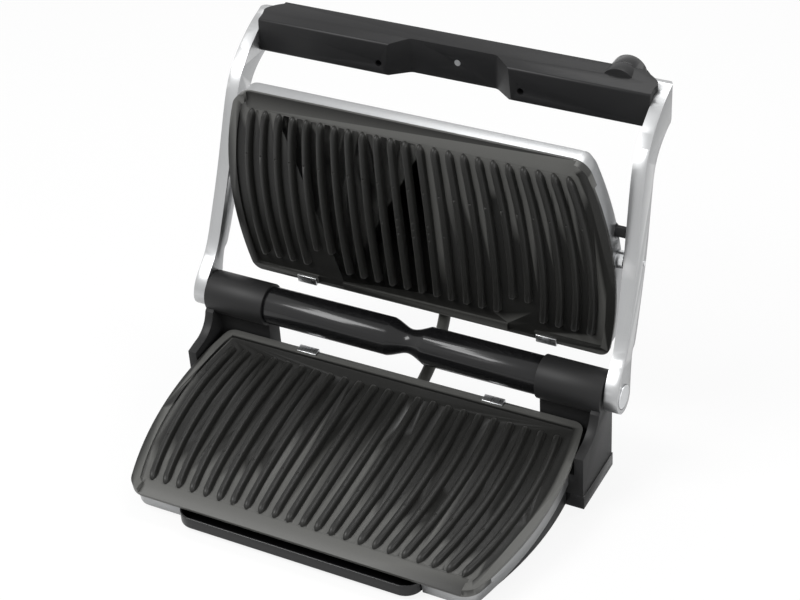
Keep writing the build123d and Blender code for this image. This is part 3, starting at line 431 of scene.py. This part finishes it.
def rib_stations(start):
    """Places along a rib with the share of its full size there: rounded back end, long nose."""
    swell_end = RIB_SWELL[-1][0]
    places = [(start + along, size) for along, size in RIB_SWELL]
    for part in range(1, RIB_PARTS):
        places.append((start + swell_end + (RIB_STRAIGHT_END - start) * part / RIB_PARTS, 1.0))
    return places + list(RIB_NOSE)


def make_ribs(short_steps):
    """All the ribs of one plate, laid flat, each along its own bowed line."""
    profile = rib_profile()
    lines = bpy.data.curves.new("ribs", "CURVE")
    lines.dimensions = "2D"
    lines.bevel_mode = "OBJECT"
    lines.bevel_object = profile
    lines.use_fill_caps = True
    for step in RIB_STEPS:
        stations = rib_stations(PAD_LENGTH if abs(step) in short_steps else 0.0)
        line = lines.splines.new("POLY")
        line.points.add(len(stations) - 1)
        for point, (back, size) in zip(line.points, stations):
            point.co = (rib_offset(step, back), -back, 0, 1)
            point.radius = size
    ribs = bpy.data.objects.new("ribs", lines)
    scene.collection.objects.link(ribs)
    only(ribs)
    bpy.ops.object.convert(target="MESH")
    bpy.data.objects.remove(profile)
    ribs = bpy.context.object
    merge_points(ribs)
    bpy.ops.mesh.normals_make_consistent(inside=False)
    bpy.ops.object.mode_set(mode="OBJECT")
    return ribs


def clear_ribs(plate, origin, out, side, short_steps):
    """Press the plain ribs of a copied plate down to its floor, under the smooth ones."""
    towards_hinge = out.cross(side)
    for vertex in plate.data.vertices:
        spot = vertex.co - origin
        back = -spot.dot(towards_hinge)
        height = spot.dot(out) + RIB_FLOOR
        if height < PLAIN_RIB_HEIGHT or not PLAIN_RIB_BACK < back < PLAIN_RIB_FRONT:
            continue
        for step in RIB_STEPS:
            start = PAD_LENGTH if abs(step) in short_steps else 0.0
            aside = abs(spot.dot(side) - rib_offset(step, back))
            if back > start + PLAIN_RIB_BACK and aside < RIB_HALF_FOOT + PLAIN_RIB_ROOM:
                vertex.co -= out * (height - PLAIN_RIB_HEIGHT)
                break


def dress_plate(node, origin, out, side, short_steps):
    """The cast plate: a rounded rim and gutter, smooth ribs, and a pit in each rib."""
    plate = clean_copy(node)
    clear_ribs(plate, origin, out, side, short_steps)
    round_edges(plate, 0.0006)
    ribs = make_ribs(short_steps)
    towards_hinge = out.cross(side)
    turn = Matrix((side, towards_hinge, out)).transposed().to_4x4()
    ribs.matrix_world = Matrix.Translation(origin - out * RIB_FLOOR) @ turn
    only(ribs)
    bpy.ops.object.transform_apply(location=True, rotation=True, scale=True)
    cutter = dimple_cutter(origin, out, side)
    use(ribs, "BOOLEAN", operation="DIFFERENCE", object=cutter, solver="EXACT")
    bpy.data.objects.remove(cutter)
    bpy.ops.object.shade_smooth_by_angle(angle=RIB_SMOOTH_ANGLE)
    plate.select_set(True)
    bpy.context.view_layer.objects.active = plate
    bpy.ops.object.join()
    settle(plate, node, "cast_" + node)


dress_plate("lower_plate", LOWER_ORIGIN, LOWER_OUT, Vector((1, 0, 0)), ())
dress_plate("upper_plate", UPPER_ORIGIN, UPPER_OUT, Vector((-1, 0, 0)), PAD_STEPS)


# Housings, arms and handle with softened edges

SOFTENED = {
    "base_shell": 0.0006,
    "base_pan": 0.0008,
    "upper_shell": 0.0012,
    "drip_tray": 0.0007,
    "pedestal_left": 0.0012,
    "pedestal_right": 0.0012,
    "foot_left": 0.001,
    "foot_right": 0.001,
    "hinge_barrel": 0.0006,
    "arm_left": 0.0012,
    "arm_right": 0.0012,
    "handle_grip": 0.0008,
    "handle_cover": 0.0012,
    "pivot_sleeves": 0.0004,
    "stop_pins": 0.0004,
    "lower_latch_left": 0.0004,
    "lower_latch_right": 0.0004,
    "upper_latch_left": 0.0004,
    "upper_latch_right": 0.0004,
    "power_button": 0.0003,
    "ok_button": 0.0004,
    "indicator_ring": 0.0003,
    "control_panel": 0.0002,
    "upper_boot": 0.0006,
    "lower_boot": 0.0006,
    "cord_inlet": 0.0006,
}
SOFTENED.update({f"programme_button_{number}": 0.0003 for number in range(1, 7)})

for node, width in SOFTENED.items():
    piece = clean_copy(node)
    round_edges(piece, width)
    settle(piece, node, "finished_" + node)


# Caps with turned rings on the ends of the hinge

caps = clean_copy("pivot_caps")
for depth in (-0.0004, 0.0004, -0.0004):
    for face in caps.data.polygons:
        face.select = abs(face.normal.x) > 0.99 and abs(face.center.x) > 0.235 and face.area > 0.00002
    bpy.ops.object.mode_set(mode="EDIT")
    bpy.ops.mesh.select_mode(type="FACE")
    bpy.ops.mesh.inset(thickness=0.0022, depth=depth)
    bpy.ops.object.mode_set(mode="OBJECT")
round_edges(caps, 0.0002)
settle(caps, "pivot_caps", "turned_caps")


# Conduit: one smooth line through the same route as the tube, in three lengths

CONDUIT_ROUTE = (
    (0.017, 0.099388, 0.110576),
    (0.017, 0.101239, 0.092671),
    (0.013, 0.065, 0.0418),
    (0.013, 0.0237, 0.0355),
)
CONDUIT_RADIUS = 0.0062
MIDDLE_SHARE = 0.5
KNEE_SHARE = 0.6


def conduit(name, start, end, node):
    """A length of the conduit's line as a round tube."""
    line = bpy.data.curves.new(name, "CURVE")
    line.dimensions = "3D"
    spline = line.splines.new("NURBS")
    spline.points.add(len(CONDUIT_ROUTE) - 1)
    for point, place in zip(spline.points, CONDUIT_ROUTE):
        point.co = (*place, 1)
    spline.order_u = 3
    spline.use_endpoint_u = True
    spline.resolution_u = 16
    line.bevel_depth = CONDUIT_RADIUS
    line.bevel_resolution = 6
    line.use_fill_caps = True
    line.bevel_factor_start = start
    line.bevel_factor_end = end
    tube = bpy.data.objects.new(name, line)
    scene.collection.objects.link(tube)
    only(tube)
    bpy.ops.object.convert(target="MESH")
    tube = bpy.context.object
    bpy.ops.object.shade_smooth_by_angle(angle=SMOOTH_ANGLE)
    tube.name = name
    paint(tube, "conduit_grey")
    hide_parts(node)
    return tube


upper_length = conduit("conduit_upper_length", 0.0, MIDDLE_SHARE * KNEE_SHARE, "conduit_upper")
lid_length = conduit("conduit_lid_length", MIDDLE_SHARE * KNEE_SHARE, MIDDLE_SHARE, "conduit_upper")
base_length = conduit("conduit_base_length", MIDDLE_SHARE, 1.0, "conduit_lower")
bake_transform(base_length)
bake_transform(lid_length)
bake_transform(upper_length)


# Every node that is still shown takes its procedural finish

for node, source in frame["nodes"].items():
    if not source.hide_render:
        paint(source, slot_of[node])


# Camera, studio and floor

camera_data = bpy.data.cameras.new("Camera")
camera_data.sensor_width = 36
camera_data.lens = 87.166
camera_data.clip_end = 20
camera = bpy.data.objects.new("Camera", camera_data)
camera.location = (0.76022, -1.3184, 1.243528)
camera.rotation_euler = (radians(54.71575), radians(3.06814), radians(27.14457))
scene.collection.objects.link(camera)
scene.camera = camera


def softbox(name, place, target, width, height, power):
    """A rectangular studio lamp aimed at a point."""
    data = bpy.data.lights.new(name, "AREA")
    data.shape = "RECTANGLE"
    data.size = width
    data.size_y = height
    data.energy = power
    lamp = bpy.data.objects.new(name, data)
    lamp.location = place
    lamp.rotation_euler = (Vector(target) - Vector(place)).to_track_quat("-Z", "Y").to_euler()
    scene.collection.objects.link(lamp)


softbox("Key softbox", (-0.9, -0.9, 1.7), (0, 0, 0.15), 1.1, 0.8, 30)
softbox("Side softbox", (1.8, -0.3, 0.9), (0, 0, 0.2), 0.8, 1.2, 14)
softbox("Top softbox", (0.1, 0.9, 1.9), (0, 0, 0.2), 1.6, 0.5, 16)

LIGHTING_LEVEL = 0.3
SEEN_LEVEL = 1.0
FLOOR_GLOW = 0.88

world = bpy.data.worlds.new("Studio")
world.use_nodes = True
scene.world = world
sky = world.node_tree.nodes["Background"]
sky.inputs["Color"].default_value = (1, 1, 1, 1)
rays = world.node_tree.nodes.new("ShaderNodeLightPath")
level = world.node_tree.nodes.new("ShaderNodeMapRange")
level.inputs["To Min"].default_value = LIGHTING_LEVEL
level.inputs["To Max"].default_value = SEEN_LEVEL
mirrored = world.node_tree.nodes.new("ShaderNodeMath")
mirrored.operation = "MAXIMUM"
through = world.node_tree.nodes.new("ShaderNodeMath")
through.operation = "MAXIMUM"
world.node_tree.links.new(rays.outputs["Is Camera Ray"], mirrored.inputs[0])
world.node_tree.links.new(rays.outputs["Is Glossy Ray"], mirrored.inputs[1])
world.node_tree.links.new(mirrored.outputs["Value"], through.inputs[0])
world.node_tree.links.new(rays.outputs["Is Transmission Ray"], through.inputs[1])
world.node_tree.links.new(through.outputs["Value"], level.inputs["Value"])
world.node_tree.links.new(level.outputs["Result"], sky.inputs["Strength"])

bpy.ops.object.select_all(action="DESELECT")
bpy.ops.mesh.primitive_plane_add(size=12, location=(0, 0, 0))
floor = bpy.context.object
floor.name = "Floor"
floor_paint = bpy.data.materials.new("Pale floor")
floor_paint.use_nodes = True
tree = floor_paint.node_tree
tree.nodes["Principled BSDF"].inputs["Base Color"].default_value = (0.86, 0.86, 0.86, 1)
tree.nodes["Principled BSDF"].inputs["Roughness"].default_value = 0.9
glow = tree.nodes.new("ShaderNodeEmission")
seen = tree.nodes.new("ShaderNodeLightPath")
share = tree.nodes.new("ShaderNodeMath")
share.operation = "MULTIPLY"
share.inputs[1].default_value = FLOOR_GLOW
cover = tree.nodes.new("ShaderNodeMixShader")
tree.links.new(seen.outputs["Is Camera Ray"], share.inputs[0])
tree.links.new(share.outputs["Value"], cover.inputs["Fac"])
tree.links.new(tree.nodes["Principled BSDF"].outputs["BSDF"], cover.inputs[1])
tree.links.new(glow.outputs["Emission"], cover.inputs[2])
tree.links.new(cover.outputs["Shader"], tree.nodes["Material Output"].inputs["Surface"])
floor.data.materials.append(floor_paint)

scene.view_settings.view_transform = "Standard"
